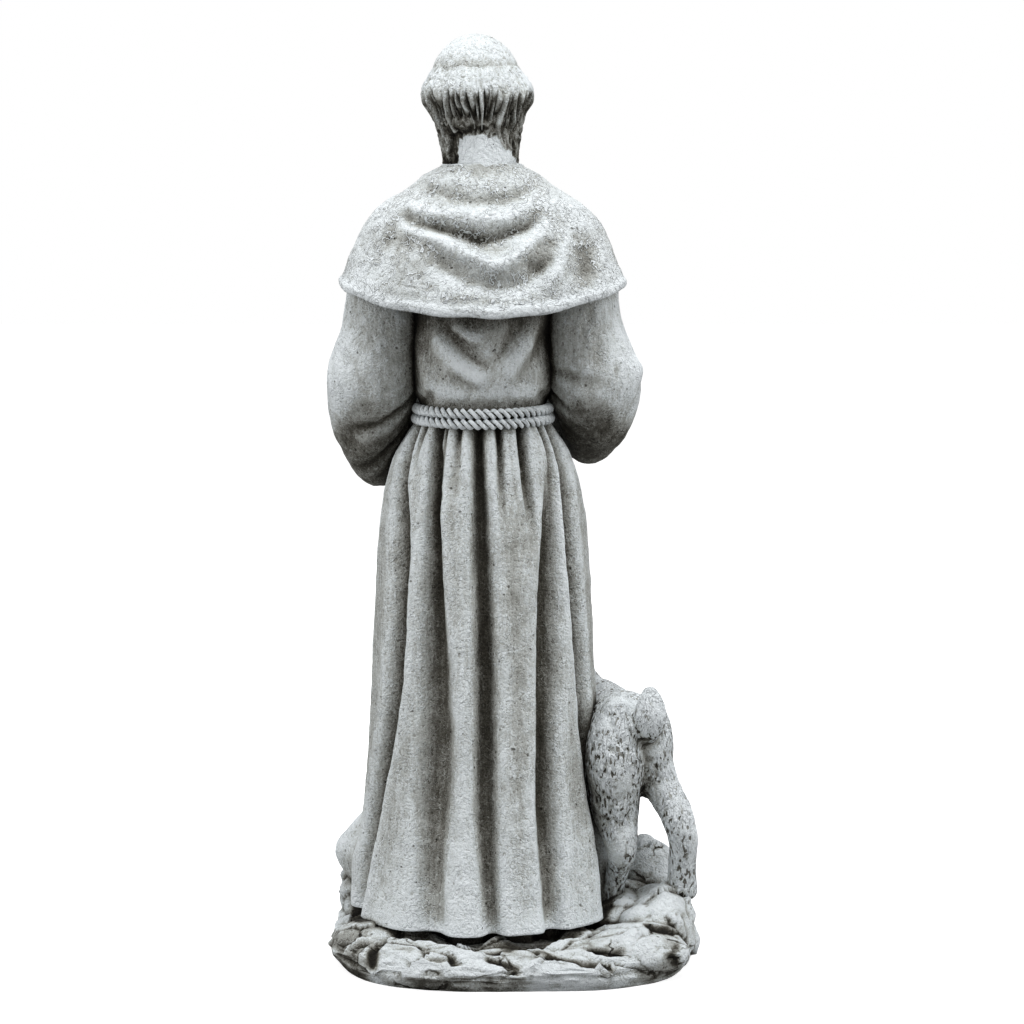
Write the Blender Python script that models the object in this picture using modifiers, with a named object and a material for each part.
"""A cast-stone garden statue: a friar in a caped habit with a fawn at his side, on a rock plinth.

The work is one casting, so it is one closed solid. It stands in metres, +Z up, with the friar facing -Y
and the origin at the middle of the plinth's flat underside. Every form is a loft of closed sections or a
primitive; the forms are fused by a voxel remesh, thinned to facets and cut flat below.
"""

import math

import bmesh
import bpy
import numpy as np
from mathutils import Vector, noise

# Driving sizes, in metres.
FIGURE_HEIGHT = 0.726  # from the plinth's top to the crown of the head
FIGURE_X = 0.024  # the friar's axis, left of the plinth's middle
FIGURE_Y = 0.0
PLINTH_WIDTH = 0.303
PLINTH_DEPTH = 0.270
PLINTH_TOP = 0.034  # the ground that the friar stands on, above the underside
FAWN_HEIGHT = 0.186  # from the plinth's top to the fawn's back
FAWN_X = -0.100  # the fawn's hips
FAWN_Y = 0.028
PLINTH_X = -0.002  # the slab's middle
ROUGHNESS = 0.007  # how far the rock's bumps stand out

# Fusing and faceting.
FUSE_VOXEL = 0.0024
DECIMATE_RATIO = 0.0275

# The friar's forms are drawn in thousandths of his own height, and the fawn's in shares of its own.
FIGURE_UNIT = FIGURE_HEIGHT / 726
FAWN_UNIT = FAWN_HEIGHT / 186


def bell(distance, width):
    """A smooth bump: 1 at distance 0, fading to nothing past about twice the width."""
    return np.exp(-((distance / width) ** 2))


def fade(value, start, end):
    """0 at start, 1 at end, smooth between and flat outside."""
    t = np.clip((value - start) / (end - start), 0, 1)
    return t * t * (3 - 2 * t)


def curve_through(knots, values, at):
    """Smooth curve through the values at the knots, a cubic between each two, read at the given places."""
    knots = np.asarray(knots, float)
    values = np.asarray(values, float)
    shape = values.shape[1:]
    values = values.reshape(len(knots), -1)
    slopes = np.gradient(values, knots, axis=0)
    flat = np.clip(np.asarray(at, float).ravel(), knots[0], knots[-1])
    i = np.clip(np.searchsorted(knots, flat, side="right") - 1, 0, len(knots) - 2)
    span = (knots[i + 1] - knots[i])[:, None]
    t = (flat[:, None] - knots[i][:, None]) / span
    result = (
        values[i] * (2 * t**3 - 3 * t**2 + 1)
        + values[i + 1] * (3 * t**2 - 2 * t**3)
        + slopes[i] * span * (t**3 - 2 * t**2 + t)
        + slopes[i + 1] * span * (t**3 - t**2)
    )
    return result.reshape(np.shape(at) + shape)


def angle_gap(angle, centre):
    """Degrees from centre to angle, between -180 and 180."""
    return (angle - centre + 180) % 360 - 180


def outward_normals(rings):
    """Unit normals of a grid of closed rings stacked bottom to top, pointing away from the rings' middle."""
    around = np.roll(rings, -1, axis=1) - np.roll(rings, 1, axis=1)
    along = np.gradient(rings, axis=0)
    normal = np.cross(around, along)
    length = np.linalg.norm(normal, axis=2, keepdims=True)
    normal = normal / np.maximum(length, 1e-9)
    outward = rings - rings.mean(axis=1, keepdims=True)
    return normal * np.sign((normal * outward).sum(axis=2).mean())


def mesh_of_rings(rings, closed_path=False):
    """A closed mesh from a grid of rings: quads between neighbouring rings, and a fan over each end."""
    count, around = rings.shape[:2]
    points = rings.reshape(-1, 3).tolist()
    faces = []
    steps = count if closed_path else count - 1
    for i in range(steps):
        for j in range(around):
            a, b = i * around + j, i * around + (j + 1) % around
            c, d = ((i + 1) % count) * around + (j + 1) % around, ((i + 1) % count) * around + j
            faces.append((a, b, c, d))
    if not closed_path:
        for ring, flip in ((0, True), (count - 1, False)):
            points.append(rings[ring].mean(axis=0).tolist())
            hub = len(points) - 1
            for j in range(around):
                a, b = ring * around + j, ring * around + (j + 1) % around
                faces.append((b, a, hub) if flip else (a, b, hub))
    mesh = bpy.data.meshes.new("form")
    mesh.from_pydata(points, [], faces)
    made = bmesh.new()
    made.from_mesh(mesh)
    bmesh.ops.recalc_face_normals(made, faces=made.faces)
    made.to_mesh(mesh)
    made.free()
    return mesh


def place_figure(points):
    """Points drawn in the friar's units, moved to where he stands."""
    return np.asarray(points, float) * FIGURE_UNIT + (FIGURE_X, FIGURE_Y, PLINTH_TOP)


def place_fawn(points):
    """Points drawn in the fawn's units from the ground under its hips, moved to where it stands."""
    return np.asarray(points, float) * FAWN_UNIT + (FAWN_X, FAWN_Y, PLINTH_TOP)


def limb_rings(points, sizes, rows, columns, side=(1, 0, 0), blunt=False):
    """A limb: oval sections carried along a smooth path through the points, one (across, deep) pair of
    half sizes at each. The first half size lies along side, turned to stay square to the path, and the
    ends close to a dome, or the far end stays open-mouthed when blunt."""
    points = np.asarray(points, float)
    sizes = np.asarray(sizes, float)
    steps = np.linalg.norm(np.diff(points, axis=0), axis=1)
    knots = np.concatenate([[0], np.cumsum(steps)]) / steps.sum()
    at = 0.5 - 0.5 * np.cos(np.linspace(0, math.pi, rows))
    path = curve_through(knots, points, at)
    half = curve_through(knots, sizes, at)
    dome = np.sqrt(np.clip(1 - (1 - np.clip(at / 0.06, 0, 1)) ** 2, 0.02, 1))
    half = half * (dome * (1 if blunt else dome[::-1]))[:, None]
    along = np.gradient(path, axis=0)
    along /= np.linalg.norm(along, axis=1, keepdims=True)
    across = np.zeros_like(along)
    previous = np.asarray(side, float)
    for i, direction in enumerate(along):
        previous = previous - direction * (previous @ direction)
        previous = previous / np.linalg.norm(previous)
        across[i] = previous
    deep = np.cross(along, across)
    turn = np.linspace(0, 2 * math.pi, columns, endpoint=False)
    return (
        path[:, None, :]
        + across[:, None, :] * (half[:, 0, None] * np.cos(turn))[:, :, None]
        + deep[:, None, :] * (half[:, 1, None] * np.sin(turn))[:, :, None]
    )


# The habit's skirt. Heights run up from the ground; angles start at the back and grow to his left.
SKIRT_HEIGHTS = (4, 30, 92, 177, 262, 345, 362, 386, 403, 414)
SKIRT_HALF_WIDTHS = (110, 107, 100, 94, 90, 83, 80, 73, 66, 59)
SKIRT_HALF_DEPTHS = (104, 99, 92, 84, 76, 67, 64, 59, 54, 50)
# One row a fold: its angle at belt, knee and hem, its depth there, and its half width in degrees at belt and hem.
FOLDS = (
    ((52, 50, 66), (7, 14, 16), (5, 9)),
    ((33, 26, 26), (8, 14, 12), (4, 7)),
    ((3, 0, -4), (8, 14, 10), (4.5, 7.5)),
    ((-38, -34, -30), (7, 14, 13), (4, 6)),
    ((-58, -58, -74), (7, 14, 16), (4, 8)),
    ((17, 16, 16), (6, 0, 0), (3, 3)),
    ((-12, -13, -13), (6, 1, 0), (3, 5)),
    ((-26, -28, -28), (6, 0, 0), (3, 3)),
    ((-48, -46, -46), (6, 1, 0), (3, 3)),
    ((70, 74, 88), (5, 4, 6), (4, 6)),
    ((-78, -84, -92), (5, 4, 6), (4, 8)),
    ((95, 96, 104), (5, 7, 6), (5, 7)),
    ((124, 122, 140), (6, 8, 9), (5, 8)),
    ((150, 146, 158), (6, 9, 8), (5, 8)),
    ((172, 172, 176), (6, 7, 8), (5, 8)),
    ((193, 198, 196), (6, 10, 9), (5, 9)),
    ((216, 220, 216), (6, 8, 9), (5, 8)),
    ((240, 246, 242), (5, 7, 8), (5, 8)),
)
BELT_LEVEL, KNEE_LEVEL, HEM_LEVEL = 414, 180, 4


def fold_relief(angle, height):
    """How far the folds cut the skirt in: one bell-shaped valley for each fold, wide at its foot."""
    share = np.clip((height - HEM_LEVEL) / (BELT_LEVEL - HEM_LEVEL), 0, 1)
    cut = np.zeros(np.broadcast(angle, height).shape)
    knee = (KNEE_LEVEL - HEM_LEVEL) / (BELT_LEVEL - HEM_LEVEL)
    for angles, depths, widths in FOLDS:
        centre = curve_through((0, knee, 1), angles[::-1], share)
        depth = curve_through((0, knee, 1), depths[::-1], share)
        width = widths[1] + (widths[0] - widths[1]) * share
        gap = angle_gap(angle, centre)
        cut = cut + depth * (0.75 * bell(gap, width) + 0.25 * bell(gap, 2.2 * width))
    return cut


def skirt_rings(rows, columns):
    """The skirt: oval sections that grow to the hem, cut by the folds, with the flare over his left foot.
    Below the hem the wall turns in and a narrower core runs down into the rock."""
    angle = np.linspace(0, 360, columns, endpoint=False)[None, :]
    height = np.linspace(HEM_LEVEL, BELT_LEVEL, rows)[:, None]
    width = curve_through(SKIRT_HEIGHTS, SKIRT_HALF_WIDTHS, height)
    depth = curve_through(SKIRT_HEIGHTS, SKIRT_HALF_DEPTHS, height)
    turn = np.radians(angle)
    radius = 1 / np.sqrt((np.sin(turn) / width) ** 2 + (np.cos(turn) / depth) ** 2)
    radius = radius - fold_relief(angle, height)
    flare = 31 * bell(angle_gap(angle, 112), 17) * bell(height - 40, 32)
    knee = 9 * bell(angle_gap(angle, 165), 24) * bell(height - 190, 110)
    radius = radius + flare + knee
    lift = 3 * bell(angle_gap(angle, 112), 30) * fade(height, 60, 0)
    skin = np.stack([radius * np.sin(turn), radius * np.cos(turn), height + lift + 0 * radius], axis=2)
    hem = skin[0]
    inner = []
    for share, level in ((0.8, -34), (0.8, 4), (0.84, 8), (0.95, 5), (0.99, 2)):
        ring = hem.copy()
        ring[:, :2] *= share
        ring[:, 2] = level if level < 0 else hem[:, 2] + level - HEM_LEVEL
        inner.append(ring)
    return np.concatenate([np.array(inner), skin])


# The bodice between belt and cape.
BODICE_HEIGHTS = (408, 428, 436, 446, 480, 530, 575, 600)
BODICE_HALF_WIDTHS = (56, 58, 62, 63, 62, 66, 70, 60)
BODICE_HALF_DEPTHS = (50, 52, 57, 59, 59, 59, 56, 46)
# Each pull line in the cloth, seen from behind: two ends (his left is +), half width and height of the ridge.
BACK_PULLS = (
    ((44, 474), (8, 440), 5.5, 9.0),
    ((22, 484), (2, 466), 5.5, 6.5),
    ((-44, 496), (-16, 447), 5.5, 8.5),
    ((-30, 440), (-54, 470), 5.5, 6.0),
    ((54, 506), (40, 446), 6, 5.5),
)


def pull_relief(x, z, pulls):
    """Ridges of pulled cloth: a bell across each line, fading out at its ends."""
    raised = np.zeros(x.shape)
    for start, end, width, rise in pulls:
        start, end = np.array(start, float), np.array(end, float)
        length = np.linalg.norm(end - start)
        along = (end - start) / length
        s = (x - start[0]) * along[0] + (z - start[1]) * along[1]
        d = (x - start[0]) * along[1] - (z - start[1]) * along[0]
        ends = fade(s, -0.25 * length, 0.2 * length) * fade(s, 1.25 * length, 0.8 * length)
        raised = raised + rise * bell(d, width) * ends
    return raised


def bodice_rings(rows, columns):
    """The bodice: oval sections that blouse out over the belt, with the pull lines on the back."""
    turn = np.linspace(0, 2 * math.pi, columns, endpoint=False)[None, :]
    height = np.linspace(BODICE_HEIGHTS[0], BODICE_HEIGHTS[-1], rows)[:, None]
    width = curve_through(BODICE_HEIGHTS, BODICE_HALF_WIDTHS, height)
    depth = curve_through(BODICE_HEIGHTS, BODICE_HALF_DEPTHS, height)
    x, y = width * np.sin(turn), depth * np.cos(turn)
    z = height + 0 * x
    grow = pull_relief(x, z, BACK_PULLS) * fade(y, 0, 20)
    grow = grow + 1.5 * np.sin(9 * turn) * bell(height - 432, 9)
    return np.stack([x + grow * np.sin(turn), y + grow * np.cos(turn), z], axis=2)


# The cape with its fallen hood. Each row of keys runs from collar to hem.
CAPE_SHARES = (0, 0.07, 0.14, 0.21, 0.3, 0.425, 0.55, 0.68, 0.82, 0.95, 1)
CAPE_SIDE = (35, 47.5, 56, 66, 80, 92.5, 99.5, 105, 110.5, 116, 117.5)
CAPE_BACK = (33, 40, 46, 52, 59, 67, 73, 79, 85, 90, 91)
CAPE_FRONT = (32, 40, 48, 56, 66, 78, 87, 94, 99, 103, 104)
COLLAR_LEVEL = 619
CAPE_HEM_SIDE, CAPE_HEM_BACK, CAPE_HEM_FRONT = 525, 501, 496
# The hood's swags on the back: middle x, level of the lowest point, how fast the ends climb, half width,
# rise (negative is a hollow) and how far the swag reaches to each side.
HOOD_SWAGS = (
    (14, 596, 0.0010, 7, -6.5, 44),
    (12, 583, 0.0040, 8, 7.5, 42),
    (10, 569, 0.0052, 7, -8.0, 46),
    (-10, 545, 0.0072, 12, 9.0, 50),
    (-6, 522, 0.0060, 8, -5.0, 62),
)
SHOULDER_PULLS = (
    ((-78, 560), (-50, 520), 8, 4.0),
    ((-96, 560), (-84, 530), 7, -3.5),
    ((80, 570), (58, 530), 10, 3.0),
    ((48, 580), (70, 590), 8, 3.0),
)


def cape_relief(x, z):
    """The fallen hood's swags, drawn as arcs that hang from the shoulders, and the pulls beside them."""
    raised = pull_relief(x, z, SHOULDER_PULLS)
    for middle, level, climb, width, rise, reach in HOOD_SWAGS:
        off = x - middle
        line = level + climb * off**2
        distance = (z - line) / np.sqrt(1 + (2 * climb * off) ** 2)
        raised = raised + rise * bell(distance, width) * fade(np.abs(off), reach * 1.25, reach * 0.6)
    return raised


def cape_rings(rows, columns):
    """The cape: sections between a superellipse's side, back and front reach, from the collar down to a
    rolled hem, then turned in under it. Rings run from under the hem up over the shoulders."""
    turn = np.linspace(0, 2 * math.pi, columns, endpoint=False)[None, :]
    share = np.linspace(1, 0, rows)[:, None]
    side = curve_through(CAPE_SHARES, CAPE_SIDE, share)
    back = curve_through(CAPE_SHARES, CAPE_BACK, share)
    front = curve_through(CAPE_SHARES, CAPE_FRONT, share)
    rear = fade(np.cos(turn), -0.2, 0.2)
    deep = front + (back - front) * rear
    power = 2.25
    reach = (np.abs(np.sin(turn)) / side) ** power + (np.abs(np.cos(turn)) / deep) ** power
    reach = reach ** (-1 / power)
    dip = np.abs(np.cos(turn)) ** 1.3
    hem = CAPE_HEM_SIDE + (np.where(np.cos(turn) > 0, CAPE_HEM_BACK, CAPE_HEM_FRONT) - CAPE_HEM_SIDE) * dip
    collar = COLLAR_LEVEL - 10 * fade(np.cos(turn), 0.3, -0.8)
    x, y = reach * np.sin(turn), reach * np.cos(turn)
    z = collar + (hem - collar) * share
    skin = np.stack([x, y, z], axis=2)
    rise = cape_relief(x, z) * fade(y, 0, 25) + 2.5 * np.sin(7 * turn + 1) * fade(-y, 0, 40) * share
    skin = skin + outward_normals(skin) * rise[:, :, None]
    hem_ring, collar_ring = skin[0], skin[-1]
    under = []
    for shrink, lift in ((0.5, 30), (0.86, 14), (0.94, 3), (0.965, -2.5), (0.99, -3.5)):
        ring = hem_ring.copy()
        ring[:, :2] *= shrink
        ring[:, 2] += lift
        under.append(ring)
    inner = []
    for shrink, drop in ((0.93, 2), (0.82, -1), (0.75, -14)):
        ring = collar_ring.copy()
        ring[:, :2] *= shrink
        ring[:, 2] += drop
        inner.append(ring)
    return np.concatenate([np.array(under), skin, np.array(inner)])


# Creases of a sleeve: place along it, half width there, depth, the side it lies on in degrees and its spread.
SLEEVE_CREASES = (
    (0.40, 0.016, 3.5, 235, 45),
    (0.47, 0.018, 5.0, 225, 50),
    (0.55, 0.018, 5.0, 215, 50),
    (0.62, 0.016, 4.0, 250, 50),
    (0.30, 0.022, 3.0, 300, 60),
    (0.52, 0.024, 3.0, 330, 50),
)


def sleeve_rings(mirror, droop, lift, rows=96, columns=56):
    """A wide sleeve: sections from shoulder over the elbow to the cuff in front, creased at the elbow. The
    lower half of each section hangs by droop near the cuff, and lift raises the forearm."""
    path = ((74, 0, 562), (82, 4, 524), (86, 6, 488), (95, 0, 444), (91, -34, 410), (66, -66, 416), (32, -84, 430))
    sizes = ((20, 24), (28, 30), (28.5, 33), (34, 36), (30, 29), (26, 26), (26, 25))
    rings = limb_rings(path, sizes, rows, columns, side=(1, 0, 0), blunt=True)
    along = 0.5 - 0.5 * np.cos(np.linspace(0, math.pi, rows))[:, None]
    middle = rings.mean(axis=1)[:, None, :]
    turn = np.linspace(0, 360, columns, endpoint=False)[None, :]
    for place, width, depth, side, spread in SLEEVE_CREASES:
        slant = place + 0.0006 * angle_gap(turn, side)
        crease = depth * bell(along - slant, width) * bell(angle_gap(turn, side), spread)
        reach = np.linalg.norm(rings - middle, axis=2)
        rings = middle + (rings - middle) * (1 - crease / np.maximum(reach, 1))[:, :, None]
    below = np.clip((middle[:, :, 2] - rings[:, :, 2]) / 28, 0, 1.4)
    rings[:, :, 2] -= droop * below**1.5 * fade(along, 0.45, 0.75)
    rings[:, :, 2] += lift * fade(along, 0.4, 0.7)
    end = rings[-1]
    centre = end.mean(axis=0)
    back = rings[-8].mean(axis=0) - centre
    hollow = [centre + (end - centre) * shrink + back * inset for shrink, inset in ((0.93, -0.05), (0.8, 0), (0.7, 1))]
    rings = np.concatenate([rings, np.array(hollow)])
    rings[:, :, 0] *= mirror
    return rings


# The head, in the friar's units. It is slightly bowed, so the face lies ahead of the neck.
HEAD_X = 2.5
HAIR_LEVELS = (641, 645, 651, 658, 664, 671, 677, 683, 690, 697, 704)
HAIR_HALF_WIDTHS = (30.5, 33.5, 37.5, 40.5, 43.5, 47, 46.5, 43.5, 39.5, 36.5, 32)
HAIR_BACK_REACH = (35, 37, 40, 43, 45, 47, 47, 45, 42, 38.5, 33)
HAIR_LOCKS = 26


def hair_rings(rows=22, columns=104):
    """The ring of hair below the shaved crown. It swells out over the ears and draws in at the nape, and
    grooves part it into locks that end ragged at its lower edge."""
    turn = np.linspace(0, 2 * math.pi, columns, endpoint=False)[None, :]
    share = np.linspace(0, 1, rows)[:, None]
    at = HAIR_LEVELS[0] + (HAIR_LEVELS[-1] - HAIR_LEVELS[0]) * share
    swell = curve_through(HAIR_LEVELS, HAIR_HALF_WIDTHS, at)
    back = curve_through(HAIR_LEVELS, HAIR_BACK_REACH, at)
    wave = turn * HAIR_LOCKS / 2 + 0.9 * np.sin(5 * turn) + 0.5 * np.sin(11 * turn + 1)
    locks = 1 - np.abs(np.sin(wave))
    groove = 3.2 * locks * fade(share, 0.8, 0.35)
    front = fade(np.cos(turn), 0.1, -0.75)
    bottom = HAIR_LEVELS[0] + 34 * front + 5 * locks
    level = bottom + (HAIR_LEVELS[-1] - bottom) * share
    reach_y = swell + (back - swell) * (1 - front) - groove
    x = HEAD_X + 3 * share + (swell - groove) * np.sin(turn)
    y = -1 + reach_y * np.cos(turn)
    return np.stack([x, y, level + 0 * x], axis=2)


# Balls of the head: centre and half sizes.
HEAD_BALLS = (
    ((HEAD_X + 3, -5, 686), (37, 41, 40)),  # skull
    ((HEAD_X - 1, -21, 656), (27, 25, 34)),  # face
    ((HEAD_X - 1, -15, 638), (31.5, 22, 30)),  # jaw and side beard
    ((HEAD_X - 2, -31, 622), (21, 19, 25)),  # beard
    ((HEAD_X - 2, -36, 608), (12, 12, 22)),  # beard's point
    ((HEAD_X - 1, -45, 656), (5.5, 7.5, 6)),  # tip of the nose
    ((HEAD_X - 11, -39, 658), (8, 6, 8)),  # cheeks
    ((HEAD_X + 9, -39, 658), (8, 6, 8)),
    ((HEAD_X - 1, -40, 682), (21, 5, 6)),  # brow
)
# The hands, one closed over the other at the waist: balls for palms and knuckles.
HAND_BALLS = (
    ((8, -84, 436), (20, 11, 14)),
    ((-9, -91, 440), (18, 9, 14)),
)
# The soles of his sandals: centre and half sizes.
SOLE_BALLS = (
    ((31, -94, 1), (17, 28, 5)),
    ((-25, -95, 1), (17, 28, 5)),
)
# Limbs of the friar: points along the middle, and half sizes across and deep at each.
NECK = (((-1, 12, 590), (0, 9, 625), (2, 6, 668)), ((24, 24), (23, 24), (25, 26)))
NOSE = (((3, -41, 680), (3, -46, 667), (3, -49, 656)), ((3, 4), (4, 5), (5, 4)))
FOOT_PATH = ((0, -60, 16), (0, -88, 14), (1, -106, 9), (1, -116, 6))
FOOT_SIZES = ((12, 12), (14, 10), (14, 7), (10, 4))
FOOT_PLACES = (31, -25)
WRIST = (((50, -70, 424), (28, -82, 432), (10, -86, 438)), ((12, 12), (11, 10), (12, 10)))
# Each finger lies across the other hand: start, knuckle, tip and its half thickness.
FINGERS = tuple(
    ((-4, -98, 449 - 6.5 * i), (4 + i, -100, 447 - 7 * i), (17 - i, -96, 443 - 7 * i), 4.0) for i in range(4)
) + (((-2, -95, 452), (-8, -98, 457), (-17, -97, 456), 4.4),)

# The rope belt: two turns, each an oval of its own, and the two hanging ends.
ROPE_RADIUS = 4.3
ROPE_TURNS = ((413.5, 60.5, 55.5), (422.0, 60.0, 55.0))
ROPE_ENDS = (
    ((-6, -58, 420), (-7, -64, 404), (-9, -74, 350), (-11, -83, 282), (-12, -92, 214), (-12, -95, 186)),
    ((-8, -58, 420), (-13, -64, 404), (-21, -74, 350), (-25, -82, 296), (-27, -87, 250)),
)
KNOT_BALLS = (
    ((-8, -62, 417), (8, 6, 8)),
    ((-10, -80, 318), (7, 6, 8)),
    ((-11.5, -90, 256), (7, 6, 8)),
    ((-12, -95, 196), (7.5, 6.5, 9)),
    ((-24, -81, 306), (7, 6, 8)),
    ((-27, -87, 254), (7.5, 6.5, 9)),
)

# The fawn, in its own units from the ground under its hips: points and half sizes (across, deep).
FAWN_LIMBS = (
    # trunk, from rump to breast
    (((1, 12, 148), (4, -2, 153), (12, -42, 152), (21, -84, 152), (30, -108, 156), (35, -122, 160)),
     ((24, 28), (31, 33), (27, 30), (26, 32), (21, 27), (12, 16))),
    # neck
    (((24, -98, 158), (37, -112, 174), (53, -120, 198), (64, -122, 218)), ((17, 24), (15, 20), (12, 15), (12, 13))),
    # head, looking up past the robe
    (((56, -115, 222), (65, -125, 226), (76, -137, 227), (82, -145, 225)), ((11, 12), (14, 15), (9, 10), (7, 7))),
    # ears
    (((56, -118, 231), (49, -114, 241), (45, -110, 248)), ((3, 4), (4, 9), (3, 4))),
    (((72, -113, 233), (80, -106, 243), (85, -101, 250)), ((3, 4), (4, 9), (3, 4))),
    # left hind leg: haunch, hock, hoof
    (((15, -8, 150), (14, -11, 126), (12, -9, 96), (12, -2, 70), (8, -2, 52), (10, -18, 24), (10, -24, 2)),
     ((18, 22), (22, 28), (20, 25), (16.5, 18), (13.5, 14), (11, 12), (12.5, 13))),
    # right hind leg
    (((-11, -4, 154), (-16, -4, 134), (-23, 2, 110), (-37, 12, 87), (-41, 10, 66), (-41, 4, 44), (-41, 0, 14)),
     ((17, 22), (15, 25), (13, 17), (12.5, 13), (11, 12), (11, 11), (13, 13))),
    # forelegs
    (((38, -112, 150), (42, -118, 110), (43, -117, 66), (43, -118, 20), (43, -119, 2)),
     ((14, 18), (11, 14), (8.5, 9), (8, 8), (10, 11))),
    (((10, -98, 148), (8, -102, 110), (7, -99, 66), (6, -101, 20), (6, -102, 2)),
     ((14, 18), (11, 14), (8.5, 9), (8, 8), (10, 11))),
    # tail, lifted
    (((-8, 10, 156), (-11, 18, 162), (-12.5, 22, 174), (-12.5, 22, 188), (-12, 20, 198)),
     ((9, 9), (13, 10), (14, 10), (10, 8), (4, 4))),
)

# Rounded masses of the fawn: centre and half sizes.
FAWN_BALLS = (
    ((14, -8, 134), (26, 29, 46)),  # left haunch
    ((-14, -2, 138), (19, 26, 42)),  # right haunch
    ((26, -106, 150), (20, 19, 27)),  # breast
    ((9, -2, 158), (23, 30, 28)),  # croup
)

# Rocks on the plinth, in metres: centre, half sizes and seed of the roughness.
ROCKS = (
    ((-0.126, 0.028, 0.032), (0.024, 0.034, 0.036), 1),  # under the fawn's right hind foot
    ((-0.094, 0.004, 0.030), (0.032, 0.034, 0.026), 2),  # under its left hind foot
    ((-0.112, -0.036, 0.052), (0.026, 0.026, 0.036), 3),  # boulder below its belly
    ((-0.084, -0.082, 0.034), (0.048, 0.030, 0.022), 4),  # under its forefeet
    ((0.124, -0.048, 0.026), (0.022, 0.034, 0.034), 5),  # under the robe's flare
    ((0.075, -0.092, 0.028), (0.036, 0.022, 0.016), 6),
    ((0.112, 0.052, 0.022), (0.030, 0.034, 0.015), 7),
    ((-0.096, 0.078, 0.022), (0.040, 0.028, 0.016), 8),
    ((-0.010, 0.108, 0.016), (0.060, 0.016, 0.014), 9),
)
PLINTH_LEVELS = (-0.012, 0.0, 0.005, 0.010, 0.015, 0.020, 0.025, 0.029, 0.033, 0.036, 0.037)
PLINTH_REACH = (0.950, 0.955, 0.975, 0.990, 1.0, 0.985, 0.930, 0.850, 0.720, 0.400, 0.150)


def rough(points, scale, seed):
    """Rock roughness at each point, about -1 to 1, from a few sizes of noise."""
    offset = Vector((seed * 3.1, seed * 1.7, seed * 2.3))
    return np.array([noise.fractal(Vector(point) * scale + offset, 0.9, 2.1, 4) for point in points])


def plinth_rings(columns=120):
    """The plinth: an oval slab with a rough rim that bulges above its foot and a top that climbs to the hem."""
    turn = np.linspace(0, 2 * math.pi, columns, endpoint=False)[None, :]
    fine = np.linspace(0, len(PLINTH_LEVELS) - 1, 33)
    knots = np.arange(len(PLINTH_LEVELS))
    level = np.interp(fine, knots, PLINTH_LEVELS)[:, None]
    reach = np.interp(fine, knots, PLINTH_REACH)[:, None]
    power = 3.0
    edge_x, edge_y = PLINTH_WIDTH / 2, PLINTH_DEPTH / 2
    plan = ((np.abs(np.sin(turn)) / edge_x) ** power + (np.abs(np.cos(turn)) / edge_y) ** power) ** (-1 / power)
    x, y = PLINTH_X + plan * reach * np.sin(turn), plan * reach * np.cos(turn)
    points = np.stack([x, y, level + 0 * x], axis=2)
    bumps = rough(points.reshape(-1, 3) * (1, 1, 1.6), 22, 0).reshape(x.shape)
    steady = fade(level, 0.0, 0.004)
    out = np.stack([np.sin(turn) + 0 * x, np.cos(turn) + 0 * x, 0 * x], axis=2)
    points = points + out * (bumps * ROUGHNESS * (0.5 + 0.5 * steady))[:, :, None]
    points[:, :, 2] += bumps * ROUGHNESS * 0.8 * steady
    return points


def ball(centre, half, place, divisions=24):
    """A sphere stretched to its three half sizes and moved into place."""
    made = bmesh.new()
    bmesh.ops.create_uvsphere(made, u_segments=divisions, v_segments=divisions * 2 // 3, radius=1)
    points = np.array([vert.co[:] for vert in made.verts]) * half + centre
    for vert, point in zip(made.verts, place(points)):
        vert.co = point
    mesh = bpy.data.meshes.new("form")
    made.to_mesh(mesh)
    made.free()
    return mesh


def rock(centre, half, seed):
    """A boulder: a stretched sphere roughened by noise, its faces a little flattened."""
    made = bmesh.new()
    bmesh.ops.create_icosphere(made, subdivisions=4, radius=1)
    points = np.array([vert.co[:] for vert in made.verts])
    points = np.sign(points) * np.abs(points) ** 0.8
    points = points / np.linalg.norm(points, axis=1, keepdims=True) ** 0.5
    bumps = rough(points, 1.5, seed)
    points = points * (1 + 0.16 * bumps)[:, None] * half + centre
    for vert, point in zip(made.verts, points):
        vert.co = point
    mesh = bpy.data.meshes.new("form")
    made.to_mesh(mesh)
    made.free()
    return mesh


def cord(points, radius, closed=False):
    """A round cord along the points, from a curve with a round bevel and filled ends."""
    curve = bpy.data.curves.new("cord", "CURVE")
    curve.dimensions = "3D"
    curve.bevel_depth = radius
    curve.bevel_resolution = 3
    curve.resolution_u = 6
    curve.use_fill_caps = True
    spline = curve.splines.new("NURBS")
    spline.points.add(len(points) - 1)
    for slot, point in zip(spline.points, points):
        slot.co = (*point, 1)
    spline.use_cyclic_u = closed
    spline.use_endpoint_u = not closed
    spline.order_u = 3
    holder = bpy.data.objects.new("cord", curve)
    mesh = bpy.data.meshes.new_from_object(holder)
    bpy.data.objects.remove(holder)
    return mesh


def oval(level, half_x, half_y, count=48):
    """Points round an oval at one level, in the friar's units."""
    turn = np.linspace(0, 2 * math.pi, count, endpoint=False)
    return np.stack([half_x * np.sin(turn), half_y * np.cos(turn), level + 0 * turn], axis=1)


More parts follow.
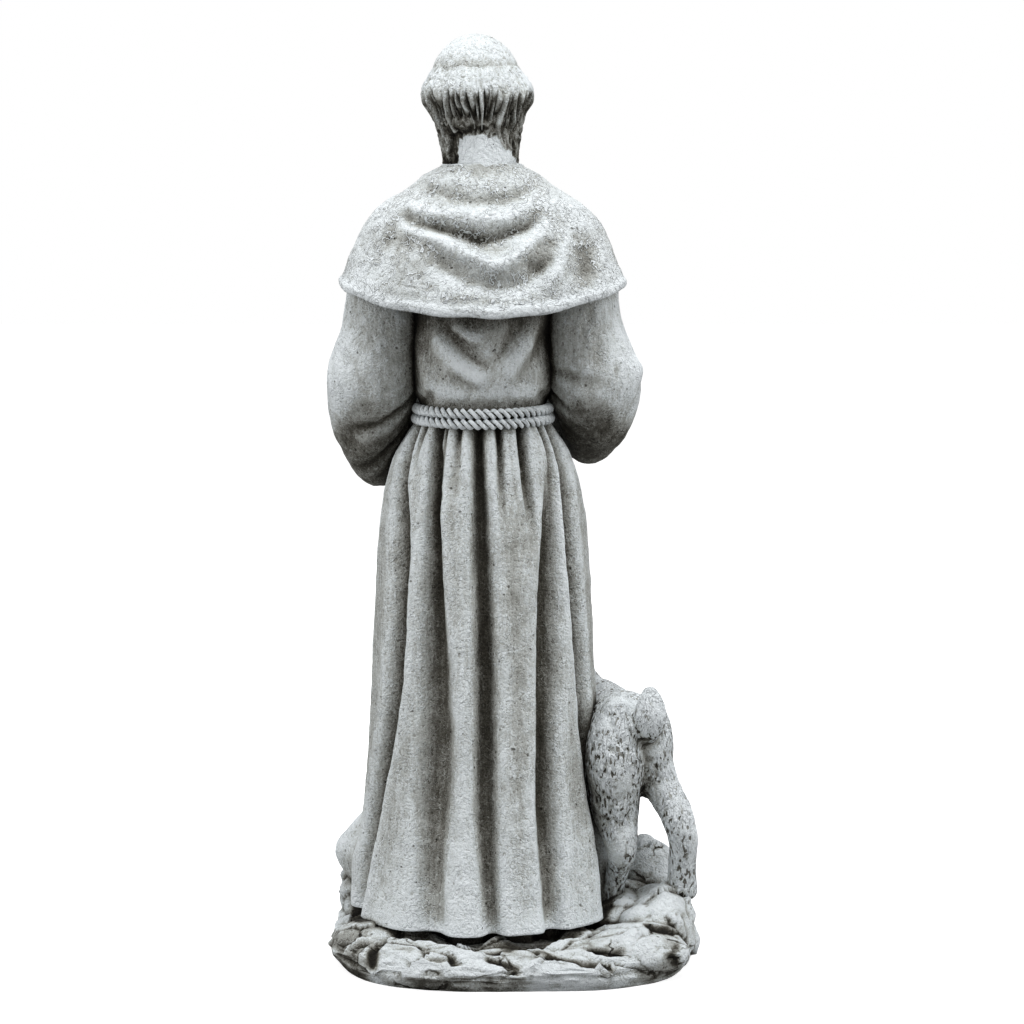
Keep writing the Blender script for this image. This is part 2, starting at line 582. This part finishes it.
def friar_meshes():
    """All of the friar's forms as closed meshes."""
    grids = [
        skirt_rings(120, 200),
        bodice_rings(44, 140),
        cape_rings(60, 180),
        sleeve_rings(1, 30, 0),
        sleeve_rings(-1, 15, 6),
        hair_rings(),
        limb_rings(*NECK, 14, 24),
        limb_rings(*NOSE, 12, 12),
        limb_rings(*WRIST, 12, 16),
        limb_rings([(-x, y, z + 4) for x, y, z in WRIST[0]], WRIST[1], 12, 16),
    ]
    for place in FOOT_PLACES:
        grids.append(limb_rings([(place + x, y, z) for x, y, z in FOOT_PATH], FOOT_SIZES, 16, 24))
    meshes = [mesh_of_rings(place_figure(rings)) for rings in grids]
    meshes += [ball(centre, half, place_figure) for centre, half in HEAD_BALLS + HAND_BALLS + SOLE_BALLS + KNOT_BALLS]
    for *points, thickness in FINGERS:
        meshes.append(cord(place_figure(points), thickness * FIGURE_UNIT))
    for level, half_x, half_y in ROPE_TURNS:
        meshes.append(cord(place_figure(oval(level, half_x, half_y)), ROPE_RADIUS * FIGURE_UNIT, closed=True))
    for points in ROPE_ENDS:
        meshes.append(cord(place_figure(points), ROPE_RADIUS * FIGURE_UNIT))
    return meshes


def fawn_meshes():
    """The fawn's trunk, neck, head, legs, tail and rounded masses as closed meshes."""
    limbs = [mesh_of_rings(place_fawn(limb_rings(*limb, 30, 24))) for limb in FAWN_LIMBS]
    return limbs + [ball(centre, half, place_fawn, 32) for centre, half in FAWN_BALLS]


def plinth_meshes():
    """The plinth's slab and the rocks on it."""
    return [mesh_of_rings(plinth_rings())] + [rock(*sizes) for sizes in ROCKS]


def stone(name, colour, roughness):
    """A plain stone material."""
    material = bpy.data.materials.new(name)
    material.use_nodes = True
    shader = material.node_tree.nodes["Principled BSDF"]
    shader.inputs["Base Color"].default_value = (*colour, 1)
    shader.inputs["Roughness"].default_value = roughness
    return material


def modifier(holder, name, kind, **settings):
    """A modifier added to an object with its settings."""
    made = holder.modifiers.new(name, kind)
    for key, value in settings.items():
        setattr(made, key, value)
    return made


def build():
    """Joins every form in one mesh, fuses them, thins the facets and cuts the underside flat."""
    for leftover in list(bpy.data.objects):
        bpy.data.objects.remove(leftover)
    works = bpy.data.collections.new("saint_statue")
    cutters = bpy.data.collections.new("cutters")
    for collection in (works, cutters):
        bpy.context.scene.collection.children.link(collection)

    whole = bmesh.new()
    for mesh in friar_meshes() + fawn_meshes() + plinth_meshes():
        whole.from_mesh(mesh)
        bpy.data.meshes.remove(mesh)
    mesh = bpy.data.meshes.new("saint_statue")
    whole.to_mesh(mesh)
    whole.free()
    statue = bpy.data.objects.new("saint_statue", mesh)
    works.objects.link(statue)
    mesh.materials.append(stone("cast stone", (0.42, 0.42, 0.41), 0.9))

    ground = bmesh.new()
    bmesh.ops.create_cube(ground, size=1)
    for vert in ground.verts:
        vert.co = (vert.co.x, vert.co.y, vert.co.z * 0.2 - 0.1)
    ground_mesh = bpy.data.meshes.new("ground_cutter")
    ground.to_mesh(ground_mesh)
    ground.free()
    cutter = bpy.data.objects.new("ground_cutter", ground_mesh)
    cutters.objects.link(cutter)
    cutter.hide_render = True
    cutter.display_type = "WIRE"

    modifier(statue, "fuse", "REMESH", mode="VOXEL", voxel_size=FUSE_VOXEL, adaptivity=0)
    modifier(statue, "soften", "SMOOTH", factor=0.4, iterations=1)
    modifier(statue, "facets", "DECIMATE", ratio=DECIMATE_RATIO)
    modifier(statue, "underside", "BOOLEAN", object=cutter, operation="DIFFERENCE", solver="EXACT")


build()
